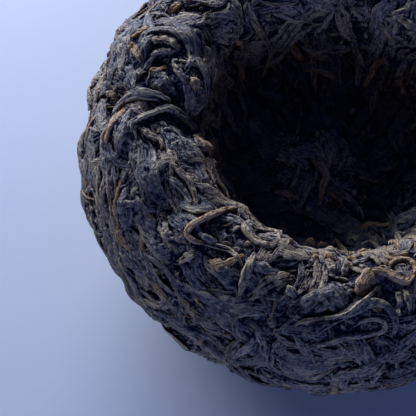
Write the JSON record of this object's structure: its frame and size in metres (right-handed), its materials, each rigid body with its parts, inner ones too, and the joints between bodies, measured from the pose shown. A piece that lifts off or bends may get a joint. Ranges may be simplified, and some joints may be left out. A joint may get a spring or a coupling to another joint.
{
  "type": "pu erh tuocha",
  "caption": "Nest-shaped cake of pressed dark tea leaves, lying on its dome with the deep round hollow upwards.",
  "frame": {"origin": "centre of the small flat spot that the dome rests on", "axes": "+Z along the cake's axis, out of the hollow; the front of the picture's view is -Y"},
  "size_m": [0.0794, 0.0801, 0.0428],
  "materials": {
    "pressed_tea": "dry matt fermented leaf, near black brown",
    "golden_leaf": "dry matt tan stalk and bud"
  },
  "bodies": {
    "root": {"tuocha": "pressed_tea"}
  },
  "joints": []
}
